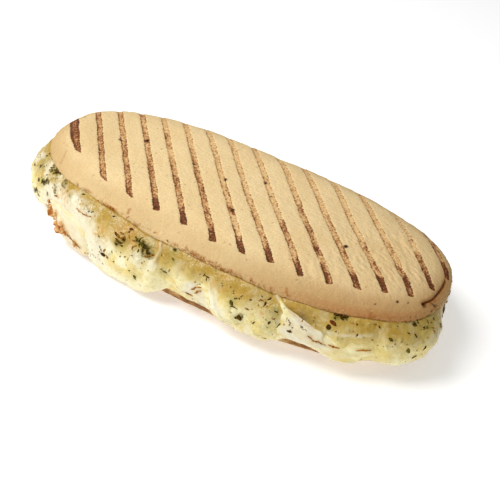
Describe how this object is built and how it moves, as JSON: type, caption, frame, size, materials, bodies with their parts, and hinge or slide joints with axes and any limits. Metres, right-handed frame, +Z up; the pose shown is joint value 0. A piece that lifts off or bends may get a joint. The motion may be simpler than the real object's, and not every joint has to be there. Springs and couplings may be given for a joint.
{
  "type": "panini",
  "caption": "Grilled sandwich in a long oval bread roll with slanting grill marks, sliced chicken and melted herb cheese that runs over the edges.",
  "frame": {"origin": "on the table, under the middle of the bread", "axes": "+X along the bread towards its right end, -Y towards the open side that shows the filling, +Z up"},
  "size_m": [0.2555, 0.1266, 0.0458],
  "materials": {
    "bread": "toasted crust, matt",
    "cheese": "melted, with a soft sheen",
    "chicken": "moist cooked meat"
  },
  "bodies": {
    "root": {"bread_bottom": "bread", "bread_top": "bread", "cheese": "cheese", "chicken_left": "chicken", "chicken_left_middle": "chicken", "chicken_middle": "chicken", "chicken_right_middle": "chicken", "chicken_right": "chicken"}
  },
  "joints": []
}
